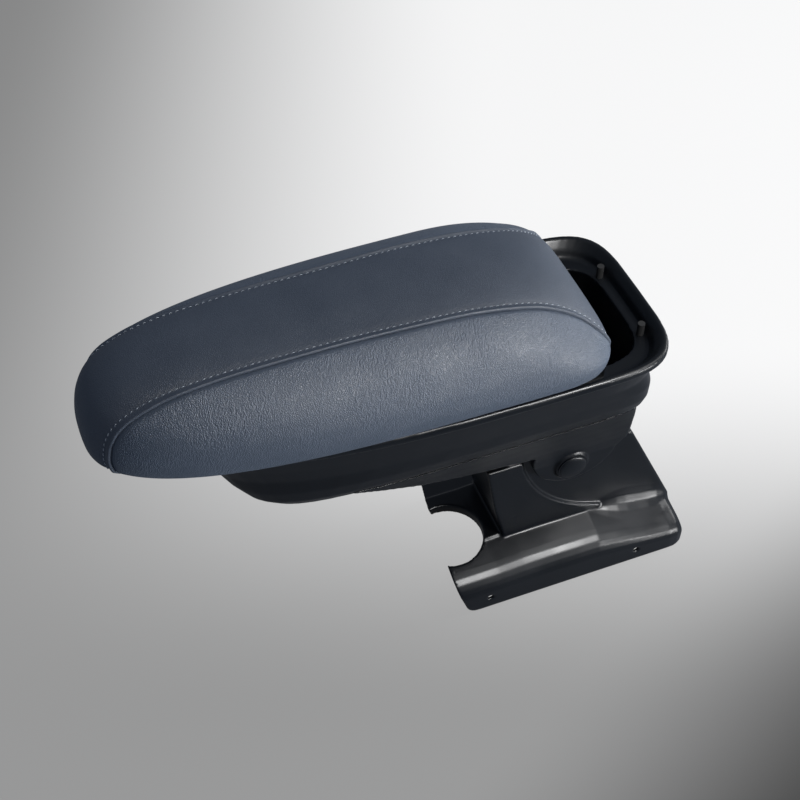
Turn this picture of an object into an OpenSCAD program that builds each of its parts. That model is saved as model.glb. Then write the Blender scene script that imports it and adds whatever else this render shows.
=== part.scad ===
// Centre armrest for a car: a padded lid that slides along a storage box,
// and the box tilts on a pedestal that is screwed down over the console.
// +X points to the rear of the car, +Y to its right and +Z up.
// The origin is the middle of the pedestal's footprint, level with its lower edge.

/* [Console foot] */
// Length of the foot along the car
foot_l = 190; // [180:1:200]
// Width of the foot across the car
foot_w = 112; // [106:1:124]
// Height of the foot beside the neck
crown_h = 41.5; // [38:0.5:44]
// Radius of the long shoulders
shoulder_r = 18; // [12:1:20]
// Wall of the foot and neck mouldings
shell_t = 2.8; // [2.4:0.1:3.2]
// Angle of the front edge, seen from above
front_skew = 7; // [0:0.5:10]
// Angle at which the front edge leans forward, seen from the side
front_lean = 19; // [5:1:25]
// Radius of the front edge's lower corners
front_r = 10; // [4:1:14]
// Radius of the half-round cut-out in the front edge
notch_r = 25.5; // [20:0.5:28]
// Distance of the cut-out's middle from the foot's front end
notch_in = 11; // [6:1:14]
// Sideways place of the cut-out
notch_y = -11; // [-14:1:0]
// Radius of the side screw holes
side_hole_r = 2.2; // [1.5:0.1:3]
// Height of the side screw holes
side_hole_z = 12; // [8:1:15]

/* [Neck and pivot] */
// Height of the pivot
pivot_z = 112; // [108:1:116]
// Place of the pivot along the car
pivot_x = -3; // [-6:1:0]
// Radius of the neck's round head
drum_r = 46; // [40:1:46]
// Width of the neck's round head
drum_w = 50.4; // [46:0.4:52]
// Thickness of the raised web on each side of the neck
web_t = 2.8; // [1.5:0.1:3]
// Height of the neck's front shoulder
neck_h = 120; // [116:1:121]
// Radius of the pivot axle
axle_r = 5; // [4:0.5:6]
// Thickness of the friction washers
washer_t = 3.1; // [2.5:0.1:3.4]
// Radius of the friction washers
washer_r = 11.5; // [9:0.5:13]
// Thickness of the steel bracket
bracket_t = 2.5; // [2:0.1:3]

/* [Storage box] */
// Length of the box's rim
rim_l = 322; // [310:1:340]
// Width of the box's rim
rim_w = 137; // [130:1:145]
// Height of the rim's top above the foot's lower edge
rim_z = 233; // [230:1:240]
// Place of the rim's rear end
rim_rear = 50; // [48:1:54]
// Wall of the housing
house_t = 2.8; // [2.4:0.1:3.2]
// Wall of the tray
tray_t = 2.3; // [2:0.1:2.8]
// Thickness of the hinge cheeks at the pivot
cheek_t = 5.2; // [4:0.1:6]
// Radius of the bushes in the hinge cheeks
bush_r = 7; // [6.5:0.1:8]
// Radius of the pivot caps
cap_r = 11; // [10:0.5:13]
// Thickness of the mat in the tray
mat_t = 2; // [1:0.1:3]

/* [Lid] */
// Length of the lid
lid_l = 323; // [310:1:340]
// How far the lid stands out past the rim on each side
lid_over = 2; // [0:0.5:4]
// Height of the padded lid above the rim
lid_h = 60; // [50:1:70]
// How far the lid slides back from its forward stop
travel = 46; // [30:1:46]
// Thickness of the leatherette
cover_t = 1.6; // [1.2:0.1:2]
// Half the distance between the two long seams
seam_y = 34; // [28:1:38]
// Thickness of the lid's carrier plate
plate_t = 4; // [3:0.5:5]
// Distance of the slide rails in from the rim's side
rail_in = 19; // [18.5:0.5:20.5]
// Length of the slide rails
rail_l = 140; // [130:1:145]
// Length of the lid's runners
runner_l = 80; // [60:1:90]

/* [Fits] */
// Gap between pieces that move past each other
gap = 0.3; // [0.2:0.05:0.4]
// Radial clearance of the axle
axle_fit = 0.05; // [0.02:0.01:0.08]

/* [Hidden] */
$fn = 64;
eps = 0.01;
far = 400;
// Points round each plan outline
ring_n = 50;
// Share of an outline's length that lies in front of its widest place
wide_share = 0.755;
// How round the front and how square the rear of an outline is
nose_n = 2.75;
tail_n = 4.5;

// Foot sections from the front: distance from the foot's rear end, height as a share
// of the crown's, how far the side draws in, and size of the fillet up to the neck
foot_rings = [
    [foot_l + 20, 0.94, 0, 1.5], [155, 0.95, 0, 1.5], [135, 0.99, 0, 1.5], [115, 1, 0, 1.5],
    [75, 0.985, 0, 2], [67, 0.94, 0, 6], [59, 0.9, 0, 11], [50, 0.85, 0, 15], [42, 0.8, 0, 17],
    [33, 0.75, 0, 17], [24, 0.71, 0, 17], [15, 0.68, 0, 14], [8, 0.64, 1, 9], [4, 0.57, 3, 5],
    [1.5, 0.42, 5.5, 2.5], [0, 0.2, 8, 1.5]];
// Slope of the foot between its shoulders and the neck
crown_slope = 15;
// Side view of the neck: x and z of its corners, in order from the front foot
neck_foot = [-44, 27];
neck_waist = [-56, 74];
neck_top_x = -64;
neck_top_rear = 40;
neck_rear = [50, 114];
neck_heel = [3, 27];
neck_tail = [0.6, 14];
// Centre and radius of the round edge of the raised web
web_c = [60, 139];
web_r = 99.5;
web_end_x = 31;
web_half = drum_w / 2 + web_t;
// Height of the foot's upright side walls, where the shoulders begin
wall_h = crown_h - shoulder_r * cos(crown_slope)
    - (foot_w / 2 - shoulder_r * (1 - sin(crown_slope)) - web_half) * tan(crown_slope);
drum_half = drum_w / 2;
inner_half = drum_half - shell_t;
bracket_half = inner_half - 0.2;
// Height and length of the screws that hold the shell to its bracket
shell_screw_at = [[-40, 62], [-12, 44]];
shell_screw_r = 1.6;
shell_screw_head_r = 4;
shell_screw_head_h = 2.4;
// Fixing bolts of the bracket
bolt_x = 10;
bolt_dx = 56;
bolt_dy = 24;
bolt_r = 3.3;
bracket_x = [-30, 52];
bracket_head_r = 16;
// How far the bracket's plates lean forward, between which heights, and their window
bracket_bend = [14, 40, 66];
bracket_heel = [10, 45];
bracket_window = [4, 62, 13];
bracket_floor_t = bracket_t + 0.5;
// Side screw holes: their places along the foot
side_hole_x = [-68, 51];
// Side and height at which the front edge reaches the foot's full length
horn = [-42, 36];
notch_x = -foot_l / 2 + notch_in;
collar_w = 2.4;
collar_d = 5;
rib_t = 2;
rib_low = 10;
rib_x = [-25, 15, 55];

// Hinge cheeks
cheek_in = drum_half + washer_t + 0.3;
cheek_out = cheek_in + cheek_t;
boss_r = cap_r + 1.5;
boss_out = cheek_out + 2.4;
lobe_c = [0, 128];
lobe_r = 33.5;
cheek_top_in = 6.5;
cheek_top_w = rim_w / 2 - cheek_top_in;
cheek_low_z = 118;
// Side view of the hinge housing: its keel, its rear edge and its upper edge
keel = [[-186, 179], [-180, 176], [-146, 158.5], [-118, 147], [-80, 139], [-44, 134], [-20, 131.5]];
cheek_rear = [[20, 129], [33, 119], [38, 127], [40.3, 137], [41, 150], [41, rim_z - 25.5]];
cheek_crest = [[-15, rim_z - 26], [-60, rim_z - 30], [-95, rim_z - 36], [-130, rim_z - 44],
    [-160, rim_z - 51]];
cheek_skin = 2.8;
// Height at which the cheeks end in the box's wall, the height of their full
// width, and how late they widen
cheek_top_z = rim_z - 58.5;
cheek_full_z = rim_z - 26;
cheek_flare = 1.35;
cheek_steps = 6;
keel_plan = [-184, 43];
keel_square = [4, 2.9];
stop_x = [-64, -57];
rest_in = 2.5;
rest_l = 9;
rest_w = 28;
stop_z = neck_h + 5;
pocket_z = pivot_z + drum_r + 1.5;
pocket_half = cheek_in + 8;
clip_t = 0.8;
clip_r = 7.6;
clip_y = cheek_out + 0.4;
groove_w = clip_t + 0.1;
groove_r = axle_r - 0.6;
mouth_w = 4;
axle_half = cheek_out + 2;
cap_edge = 0.8;
cap_dome = 1.8;

// Box sections: height below the rim, front, rear and side insets from the rim,
// and how square the section's front and rear are
box_rings = [
    [7.5, 3, 3.5, 3.5, 2.75, 4.5], [9, 8, 4, 4.5, 2.75, 4.5], [25, 15, 9.5, 8.5, 2.8, 5],
    [37, 22, 7.5, 11.5, 3, 7], [49, 30, 7.5, 14, 3.6, 8], [59, 39, 8.5, 17.5, 4.5, 8],
    [68, 51, 13, 23.5, 5.5, 5.5], [73, 68, 24, 33, 5.5, 5]];
floor_inset = [68, 24, 33];
// Outside of the rim: height below its top and how far it is drawn in
lip_t = 7;
lip_rings = [[lip_t, 0.6], [lip_t - 2, 0], [1.2, 0], [0, 1.2]];
// Inside of the rim down to the ledge: depth, and front, rear and side insets
ledge_d = 11;
ledge_w = 11;
ledge_rings = [[ledge_d, 14, 9.5, 10.2], [5.5, 11, 7.5, 7.6], [-5, 0, -0.4, -0.4]];
room_front = 28;
room_rear = 16;
tray_gap = 0.4;
tray_floor = rim_z - box_rings[7][0] + house_t + tray_gap + tray_t;
tray_screw_at = [[-128, -14], [-128, 14], [-128, 0]];
tray_screw_r = 1.5;
tray_screw_l = 14;
mat_in = 8;
// Countersunk heads: depth and radius as shares of the screw's radius
head_d = 1.2;
head_r = 1.9;

// Lid sections: height as a share of the lid's, front, rear and side insets, and
// how square the section's front and rear are
lid_rings = [
    [0.02, 3, 2.5, 4, 2.75, 5], [0.07, 0.5, 0.5, 1, 2.75, 5.2], [0.20, 0, 0, 0, 2.75, 5.4],
    [0.39, 1.5, 4, 1.5, 2.75, 4.4], [0.54, 4.5, 10.5, 5, 2.75, 3.3], [0.66, 8.5, 18, 9.5, 2.7, 2.8],
    [0.78, 15.5, 30, 16.5, 2.6, 2.5], [0.88, 27, 49, 25.5, 2.6, 2.4],
    [0.95, 47, 77, 35.5, 2.5, 2.4], [0.985, 74, 112, 48, 2.5, 2.4], [1, 100, 147, 60, 2.5, 2.4]];
lid_w = rim_w + 2 * lid_over;
lid_rear = rim_rear - travel;
lid_front = lid_rear - lid_l;
lid_z = rim_z + gap;
plate_lift = 0.8;
plate_in = [5, 6, 6];

// How far the middle of the rails lies behind the middle of the rim
rail_back = 39;
rail_x = rim_rear - rim_l / 2 + rail_back - rail_l / 2;
rail_y = rim_w / 2 - rail_in;
rail_w = 5;
rail_top = rim_z - 3;
rail_low = rim_z - ledge_d;
groove_z = [rail_low + 3, rail_low + 5.6];
groove_d = 1.7;
rail_screw_r = 1;
rail_screw_l = 5;
rail_screw_y = rail_y + groove_d + 1.3;
rail_screw_x = [rail_x + 12, rail_x + rail_l - 12];
runner_w = 3.7;
runner_x = rail_x + 8;
runner_screw_r = 0.95;
runner_screw_x = [runner_x + 10, runner_x + runner_l - 10];
// Seats of the two soft stops on the rear ledge
buffer_in = 13;
buffer_y = 29;
buffer_r = 2.4;

// One plan outline between two ends, with its half width and how square its
// front and rear are, as points at one height
function outline(xf, xr, b, z, nose = nose_n, tail = tail_n) =
    let (c = xf + (xr - xf) * wide_share)
    [for (i = [0 : ring_n - 1])
        let (t = 360 * i / ring_n, s = sin(t), k = cos(t),
             n = k < 0 ? nose : tail,
             a = k < 0 ? c - xf : xr - c)
        [c + a * sign(k) * pow(abs(k), 2 / n), b * sign(s) * pow(abs(s), 2 / n), z]];

function flat(points) = [for (p = points) [p[0], p[1]]];

// A closed skin over a stack of outlines, lowest first. Outlines that aren't
// convex are the same on both sides, and their ends are closed in strips.
module loft(rings, strips = false) {
    n = len(rings[0]);
    m = len(rings);
    ends = strips ? [for (i = [0 : n / 2 - 2]) [i, i + 1, n - 2 - i, n - 1 - i]]
        : [[for (i = [0 : n - 1]) i]];
    polyhedron(
        points = [for (r = rings) each r],
        faces = concat(
            ends,
            [for (j = [0 : m - 2], i = [0 : n - 1])
                each [[j * n + i, (j + 1) * n + i, j * n + (i + 1) % n],
                      [(j + 1) * n + i, (j + 1) * n + (i + 1) % n, j * n + (i + 1) % n]]],
            [for (e = ends) [for (i = [len(e) - 1 : -1 : 0]) (m - 1) * n + e[i]]]),
        convexity = 6);
}

// Sections of the box from its floor up, drawn in by d on all sides
function box_skin(d) =
    [for (i = [len(box_rings) - 1 : -1 : 0])
        let (r = box_rings[i], last = i == len(box_rings) - 1)
        outline(rim_rear - rim_l + r[1] + d, rim_rear - r[2] - d, rim_w / 2 - r[3] - d,
            rim_z - r[0] + (i > 1 ? d * (last ? 1 : (i - 1) / len(box_rings)) : 0), r[4], r[5])];

// Sections of the lid from its lower edge up, drawn in by d on all sides
function lid_skin(d) =
    [for (i = [0 : len(lid_rings) - 1])
        let (r = lid_rings[i], lift = i / (len(lid_rings) - 1))
        outline(lid_front + r[1] + d, lid_rear - r[2] - d, lid_w / 2 - r[3] - d,
            lid_z + lid_h * r[0] - d * lift, r[4], r[5])];

// An upright side profile, given as x and z, spread across the middle
module across(half) {
    translate([0, half, 0])
        rotate([90, 0, 0])
            linear_extrude(2 * half) children();
}

// The same profile on one side only, between two distances from the middle
module on_side(side, from, to) {
    translate([0, side > 0 ? to : -from, 0])
        rotate([90, 0, 0])
            linear_extrude(to - from) children();
}

// A round along Y on one side, between two distances from the middle
module round_on_side(side, from, to, r, x = pivot_x, z = pivot_z) {
    translate([x, side * from, z])
        rotate([side * -90, 0, 0])
            cylinder(h = to - from, r = r);
}

// One section across the foot, drawn in by d, from one lower edge over the top to the other
function foot_ring(r, d) =
    let (half = foot_w / 2 - r[2] - d, k = r[1], neck = drum_half - d, rise = tan(crown_slope) * k,
         top = crown_h * k - d + (web_half - neck) * rise,
         right = concat([[half, d > 0 ? -1 : 0]],
             [for (a = [0 : 15 : 90 - crown_slope])
                 [half - shoulder_r * (1 - cos(a)), (wall_h + shoulder_r * sin(a)) * k - d]],
             [for (t = [0 : 0.25 : 1])
                 [neck + r[3] * pow(1 - t, 2), top + r[3] * (t * t - pow(1 - t, 2) * rise)]]))
    concat(right, [for (i = [len(right) - 1 : -1 : 0]) [-right[i][0], right[i][1]]]);

// Foot without its neck, drawn in by d
module foot_skin(d) {
    loft([for (r = foot_rings)
        let (x = foot_l / 2 - r[0] - (r[0] < foot_l ? d : 0))
        [for (p = foot_ring(r, d)) [x, p[0], p[1]]]], true);
}

// Everything behind the foot's leaning and skewed front edge
module behind_front() {
    run = front_r / tan(45 + front_lean / 2);
    foot_x = horn[1] * tan(front_lean);
    middle = foot_x + run;
    translate([-foot_l / 2, horn[0], 0])
        rotate([0, 0, -front_skew])
            across(far) {
                polygon([[middle, -2], [far, -2], [far, far], [(horn[1] - far) * tan(front_lean), far],
                    [foot_x - run * sin(front_lean), run * cos(front_lean)], [middle, front_r]]);
                translate([middle, front_r])
                    circle(front_r);
            }
}

// Side view of the neck, drawn in by d
module neck_side(d) {
    polygon([[neck_foot[0] + d, neck_foot[1]], [neck_waist[0] + d, neck_waist[1]],
        [neck_top_x + 1.1 * d, neck_h - d], [neck_top_rear - d, neck_h - d],
        [neck_rear[0] - d, neck_rear[1] - d], [foot_l / 2 - neck_heel[0] - 1.1 * d, neck_heel[1]],
        [foot_l / 2 - neck_tail[0] - d, neck_tail[1]],
        [foot_l / 2 - neck_tail[0] - d, neck_tail[1] - 8], [neck_foot[0] + d, neck_tail[1] - 8]]);
    translate([pivot_x, pivot_z])
        circle(drum_r - d);
}

// Side view of the raised web in front of the cheeks
module web_side() {
    difference() {
        intersection() {
            neck_side(0);
            translate([-far, 0])
                square([far + web_end_x, neck_h]);
        }
        translate(web_c)
            circle(web_r, $fn = 128);
    }
}

module base_shell() {
    color([0.15, 0.16, 0.18])
    difference() {
        union() {
            difference() {
                union() {
                    intersection() {
                        foot_skin(0);
                        behind_front();
                    }
                    across(drum_half) neck_side(0);
                    across(web_half) web_side();
                }
                foot_skin(shell_t);
                across(inner_half) neck_side(shell_t);
            }
            intersection() {
                foot_skin(shell_t / 2);
                behind_front();
                foot_stiffeners();
            }
        }
        translate([notch_x, notch_y, -1])
            cylinder(h = crown_h + 20, r = notch_r);
        for (s = [-1, 1]) {
            for (x = side_hole_x)
                round_on_side(s, foot_w / 2 - 6, foot_w / 2 + 1, side_hole_r, x, side_hole_z);
            for (p = shell_screw_at)
                round_on_side(s, inner_half - 1, web_half - 1, shell_screw_r, p[0], p[1]);
        }
        translate([pivot_x, far / 2, pivot_z])
            rotate([90, 0, 0])
                cylinder(h = far, r = axle_r + axle_fit);
    }
}

// Collar round the cut-out, and ribs under the crown and behind the side walls
module foot_stiffeners() {
    translate([notch_x, notch_y, crown_h - shell_t - collar_d])
        cylinder(h = far, r = notch_r + collar_w);
    front = notch_x + notch_r + collar_w + 1;
    for (s = [-1, 1])
        translate([front, s * (web_half + 8) - rib_t / 2, rib_low])
            cube([foot_l / 2 - front, rib_t, crown_h]);
    for (x = rib_x, s = [-1, 1])
        translate([x - rib_t / 2, s > 0 ? inner_half + 2 : -foot_w / 2, rib_low])
            cube([rib_t, foot_w / 2 - inner_half - 2, crown_h]);
}

// Side view of one plate of the bracket
module bracket_side() {
    difference() {
        union() {
            translate([pivot_x, pivot_z])
                circle(bracket_head_r);
            polygon([[bracket_x[0], 0], [bracket_x[0] - bracket_bend[0], bracket_bend[1]],
                [bracket_x[0] - bracket_bend[0], bracket_bend[2]],
                [pivot_x - bracket_head_r, pivot_z], [pivot_x + bracket_head_r, pivot_z],
                [bracket_x[1] - bracket_heel[0], bracket_heel[1]], [bracket_x[1], 0]]);
        }
        translate([pivot_x, pivot_z])
            circle(axle_r + axle_fit);
        for (p = shell_screw_at)
            translate(p)
                circle(shell_screw_r + 0.6);
        translate([bracket_window[0], bracket_window[1]])
            circle(bracket_window[2]);
    }
}

module neck_bracket() {
    color([0.62, 0.63, 0.65])
    difference() {
        union() {
            for (s = [-1, 1])
                on_side(s, bracket_half - bracket_t, bracket_half) bracket_side();
            translate([bracket_x[0], -bracket_half, 0])
                cube([bracket_x[1] - bracket_x[0], 2 * bracket_half, bracket_floor_t]);
        }
        for (x = [-1, 1], y = [-1, 1])
            translate([bolt_x + x * bolt_dx / 2, y * bolt_dy / 2, -1])
                cylinder(h = bracket_floor_t + 2, r = bolt_r);
    }
}

module shell_screws() {
    head_y = bracket_half - bracket_t;
    color([0.55, 0.56, 0.58])
    for (s = [-1, 1], p = shell_screw_at) {
        round_on_side(s, head_y - shell_screw_head_h, head_y, shell_screw_head_r, p[0], p[1]);
        round_on_side(s, head_y - 1, web_half - 1.4, shell_screw_r, p[0], p[1]);
    }
}

module pivot_axle() {
    color([0.7, 0.71, 0.73])
    difference() {
        translate([pivot_x, axle_half, pivot_z])
            rotate([90, 0, 0])
                cylinder(h = 2 * axle_half, r = axle_r);
        for (s = [-1, 1])
            difference() {
                round_on_side(s, clip_y, clip_y + groove_w, axle_r + 1);
                round_on_side(s, cheek_out, axle_half + 1, groove_r);
            }
    }
}

module axle_clips() {
    color([0.3, 0.3, 0.32])
    for (s = [-1, 1])
        difference() {
            round_on_side(s, clip_y, clip_y + clip_t, clip_r);
            round_on_side(s, cheek_out, axle_half + 1, groove_r);
            translate([pivot_x - mouth_w / 2, s * cheek_out - mouth_w, pivot_z - far])
                cube([mouth_w, 2 * mouth_w, far]);
        }
}

module friction_washers() {
    color([0.85, 0.84, 0.78])
    for (s = [-1, 1])
        difference() {
            round_on_side(s, drum_half + 0.1, drum_half + washer_t + 0.1, washer_r);
            round_on_side(s, drum_half - 1, drum_half + washer_t + 1, axle_r + axle_fit);
        }
}

module rest_buffer() {
    color([0.08, 0.08, 0.08])
    translate([neck_top_x + rest_in, -rest_w / 2, neck_h])
        cube([rest_l, rest_w, stop_z - gap - neck_h]);
}

// Half width of the hinge cheeks at a height
function cheek_w(z) =
    cheek_out + (cheek_top_w - cheek_out)
        * pow(max(0, z - cheek_low_z) / (cheek_full_z - cheek_low_z), cheek_flare);

// The keel and the two hinge cheeks under the box, drawn in by d
module cheeks(d) {
    zs = [for (i = [0 : cheek_steps])
        cheek_low_z + (cheek_top_z - cheek_low_z) * i / cheek_steps];
    intersection() {
        translate([-far, 0, 0])
            rotate([90, 0, 90])
                linear_extrude(2 * far)
                    polygon(concat([[cheek_out - d, 0]], [for (z = zs) [cheek_w(z) - d, z]],
                        [for (i = [cheek_steps : -1 : 0]) [d - cheek_w(zs[i]), zs[i]]],
                        [[d - cheek_out, 0]]));
        across(far / 2) {
            polygon(concat([for (p = keel) [p[0] + d, p[1] + d]], cheek_rear, cheek_crest));
            translate(lobe_c)
                circle(lobe_r);
        }
        linear_extrude(far)
            polygon(flat(outline(keel_plan[0] + d, keel_plan[1], cheek_top_w - d, 0,
                keel_square[0], keel_square[1])));
    }
}

// The upper part of the box's body
module housing() {
    top = box_skin(house_t)[7];
    color([0.13, 0.14, 0.16])
    difference() {
        loft(box_skin(0));
        loft(concat(box_skin(house_t), [raised(top, rim_z + 5)]));
        for (p = tray_screw_at)
            translate([p[0], p[1], rim_z - box_rings[7][0] - 1])
                cylinder(h = house_t + 2, r = tray_screw_r + 0.2);
    }
}

// The part of the body that carries the box on its two hinge cheeks
module hinge_housing() {
    color([0.13, 0.14, 0.16])
    difference() {
        union() {
            difference() {
                cheeks(0);
                // Room between the cheeks for the neck
                translate([stop_x[1], 0, 0])
                    rotate([90, 0, 90])
                        linear_extrude(far)
                            polygon([[-cheek_in, 0], [cheek_in, 0], [cheek_in, cheek_low_z + 8],
                                [pocket_half, pocket_z], [pocket_half, rim_z], [-pocket_half, rim_z],
                                [-pocket_half, pocket_z], [-cheek_in, cheek_low_z + 8]]);
                // Hollow in front of the rest rib
                intersection() {
                    cheeks(cheek_skin);
                    translate([-far, -far / 2, 0])
                        cube([far + stop_x[0], far, far]);
                }
            }
            // Pads under the box for its screws
            for (p = tray_screw_at) if (p[0] < stop_x[0])
                translate([p[0], p[1], keel_at(p[0]) + 1])
                    cylinder(h = pocket_z - keel_at(p[0]), r = 4);
            // Bosses round the pivot, inside and outside
            for (s = [-1, 1])
                round_on_side(s, cheek_in, boss_out, boss_r);
        }
        loft(box_skin(-0.1));
        for (s = [-1, 1]) {
            round_on_side(s, cheek_in - 1, boss_out + 1, bush_r);
            round_on_side(s, cheek_out, boss_out + 1, cap_r - 2);
        }
        for (p = tray_screw_at)
            translate([p[0], p[1], tray_floor - tray_screw_l])
                cylinder(h = far, r = tray_screw_r);
    }
}

// Height of the keel's lower face at a place along it
function keel_at(x) = lookup(x, keel);

module tray() {
    d_out = house_t + tray_gap;
    low = [for (i = [0 : 5]) box_skin(d_out + tray_t)[i]];
    top = box_skin(d_out)[7];
    ledge = rim_z - ledge_d;
    room_w = ledge_rings[0][3] + ledge_w;
    color([0.06, 0.07, 0.08])
    difference() {
        union() {
            loft(concat(box_skin(d_out), [raised(top, rim_z - 4)]));
            // Rim with its lip
            loft([for (r = lip_rings) rim_ring(r[0], r[1], r[1], r[1])]);
        }
        // Room above the ledge that carries the slide rails
        loft([for (r = ledge_rings) rim_ring(r[0], r[1], r[2], r[3])]);
        // Storage room below the ledge
        intersection() {
            loft(concat(low, [raised(low[5], rim_z + 5)]));
            loft([for (z = [far, 0]) rim_ring(z, room_front, room_rear, room_w)]);
        }
        for (p = tray_screw_at)
            translate([p[0], p[1], tray_floor - tray_t])
                countersink(tray_screw_r + 0.3, tray_t);
        for (s = [-1, 1], x = rail_screw_x)
            translate([x, s * rail_screw_y, ledge - rail_screw_l - 1])
                cylinder(h = rail_screw_l + 2, r = rail_screw_r);
    }
}

// A ring's outline again at another height
function raised(ring, z) = [for (q = ring) [q[0], q[1], z]];

// Outline of the rim, drawn in at its front, rear and sides, at a depth below its top
function rim_ring(depth, front, rear, side) =
    outline(rim_rear - rim_l + front, rim_rear - rear, rim_w / 2 - side, rim_z - depth);

// A hole with a cone at its mouth
module countersink(r, h) {
    translate([0, 0, -1])
        cylinder(h = h + 2, r = r);
    translate([0, 0, h - head_d * r])
        cylinder(h = head_d * r + eps, r1 = r, r2 = 2 * r);
}

// A countersunk screw with its head's face at z = 0, pointing down
module flat_screw(r, l) {
    translate([0, 0, -l])
        cylinder(h = l - 0.1, r = r);
    translate([0, 0, -head_d * r])
        cylinder(h = head_d * r - 0.05, r1 = r, r2 = head_r * r);
}

module tray_mat() {
    color([0.05, 0.05, 0.06])
    translate([0, 0, tray_floor + 0.1])
        linear_extrude(mat_t)
            polygon(flat(rim_ring(0, floor_inset[0] + mat_in, floor_inset[1] + mat_in,
                floor_inset[2] + mat_in)));
}

module tray_screws() {
    color([0.5, 0.5, 0.52])
    for (p = tray_screw_at)
        translate([p[0], p[1], tray_floor])
            flat_screw(tray_screw_r, tray_screw_l - 1);
}

module pivot_bush(side) {
    color([0.8, 0.79, 0.74])
    difference() {
        round_on_side(side, cheek_in, cheek_out - 0.1, bush_r);
        round_on_side(side, cheek_in - 1, cheek_out + 1, axle_r + axle_fit);
    }
}

// Shallow domed cap over the end of the axle
module pivot_cap(side) {
    color([0.14, 0.15, 0.17])
    translate([pivot_x, side * boss_out, pivot_z])
        rotate([side * -90, 0, 0])
            rotate_extrude()
                polygon(concat([[0, 0], [cap_r, 0], [cap_r, cap_edge]],
                    [for (a = [0 : 11.25 : 90])
                        [(cap_r - cap_edge) * cos(a), cap_edge + cap_dome * sin(a)]]));
}

module slide_rail(side) {
    color([0.1, 0.1, 0.11])
    difference() {
        translate([rail_x, side > 0 ? rail_y : -rail_y - rail_w, rail_low])
            cube([rail_l, rail_w, rail_top - rail_low]);
        translate([rail_x - 1, side > 0 ? rail_y - 1 : -rail_y - groove_d, groove_z[0]])
            cube([rail_l + 2, groove_d + 1, groove_z[1] - groove_z[0]]);
        for (x = rail_screw_x)
            translate([x, side * rail_screw_y, rail_low])
                countersink(rail_screw_r + 0.1, rail_top - rail_low);
    }
}

module rail_screws() {
    color([0.5, 0.5, 0.52])
    for (s = [-1, 1], x = rail_screw_x)
        translate([x, s * rail_screw_y, rail_top])
            flat_screw(rail_screw_r, rail_top - rail_low + rail_screw_l);
}

// Two soft stops on the rear ledge of the tray
module lid_buffers() {
    color([0.09, 0.09, 0.1])
    for (s = [-1, 1])
        translate([rim_rear - buffer_in, s * buffer_y, rim_z - ledge_d])
            cylinder(h = ledge_d - 1.5, r = buffer_r);
}

module lid_plate() {
    d = cover_t + 0.2;
    color([0.12, 0.12, 0.13])
    difference() {
        translate([0, 0, lid_z + plate_lift])
            linear_extrude(plate_t)
                polygon(flat(outline(lid_front + plate_in[0] + d, lid_rear - plate_in[1] - d,
                    lid_w / 2 - plate_in[2] - d, 0)));
        for (s = [-1, 1], x = runner_screw_x)
            translate([x, s * (rail_y - gap - runner_w / 2), lid_z + plate_lift])
                countersink(runner_screw_r + 0.25, plate_t);
    }
}

// The lid's inner form, from the carrier plate up
module foam_pad() {
    color([0.75, 0.72, 0.6])
    intersection() {
        loft(lid_skin(cover_t + 0.3));
        translate([-far, -far / 2, lid_z + plate_lift + plate_t + 0.1])
            cube([2 * far, far, far]);
    }
}

// The leatherette over the whole lid
module cover() {
    difference() {
        loft(lid_skin(0));
        loft(concat([[for (q = lid_skin(cover_t)[0]) [q[0], q[1], 0]]], lid_skin(cover_t)));
    }
}

module cover_centre() {
    color([0.25, 0.29, 0.35])
    intersection() {
        cover();
        translate([-far, -seam_y, 0])
            cube([2 * far, 2 * seam_y, far]);
    }
}

module cover_side(side) {
    color([0.36, 0.42, 0.49])
    intersection() {
        cover();
        translate([-far, side > 0 ? seam_y : -seam_y - far, 0])
            cube([2 * far, far, far]);
    }
}

// Runner under the lid, with the tongue that holds it in the rail's groove
module slide_runner(side) {
    top = lid_z + plate_lift;
    y1 = rail_y - gap;
    color([0.82, 0.82, 0.8])
    difference() {
        union() {
            translate([runner_x, side > 0 ? y1 - runner_w : -y1, groove_z[0] - 1])
                cube([runner_l, runner_w, top - groove_z[0] + 1]);
            translate([runner_x, side > 0 ? y1 - eps : -rail_y - groove_d + gap, groove_z[0] + gap])
                cube([runner_l, groove_d + eps, groove_z[1] - groove_z[0] - 2 * gap]);
        }
        for (x = runner_screw_x)
            translate([x, side * (y1 - runner_w / 2), top - 6])
                cylinder(h = 7, r = runner_screw_r);
    }
}

module runner_screws() {
    color([0.5, 0.5, 0.52])
    for (s = [-1, 1], x = runner_screw_x)
        translate([x, s * (rail_y - gap - runner_w / 2), lid_z + plate_lift + plate_t])
            flat_screw(runner_screw_r, plate_t + 5);
}

base_shell();
neck_bracket();
shell_screws();
pivot_axle();
axle_clips();
friction_washers();
rest_buffer();
housing();
hinge_housing();
tray();
tray_mat();
tray_screws();
pivot_bush(-1);  // pivot_bush_left
pivot_bush(1);  // pivot_bush_right
pivot_cap(-1);  // pivot_cap_left
pivot_cap(1);  // pivot_cap_right
slide_rail(-1);  // slide_rail_left
slide_rail(1);  // slide_rail_right
rail_screws();
lid_buffers();
lid_plate();
foam_pad();
cover_centre();
cover_side(-1);  // cover_side_left
cover_side(1);  // cover_side_right
slide_runner(-1);  // slide_runner_left
slide_runner(1);  // slide_runner_right
runner_screws();
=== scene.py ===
"""Looks of a car centre armrest: a padded lid over a storage box on a tilting pedestal.

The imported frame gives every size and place. Axes are the frame's own: +X to the rear, +Y away
from the viewer and +Z up. Lengths in the armrest's classes are in millimetres, the studio's in
metres.
"""
import logging
import math
from dataclasses import dataclass, field
from enum import Enum

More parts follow.
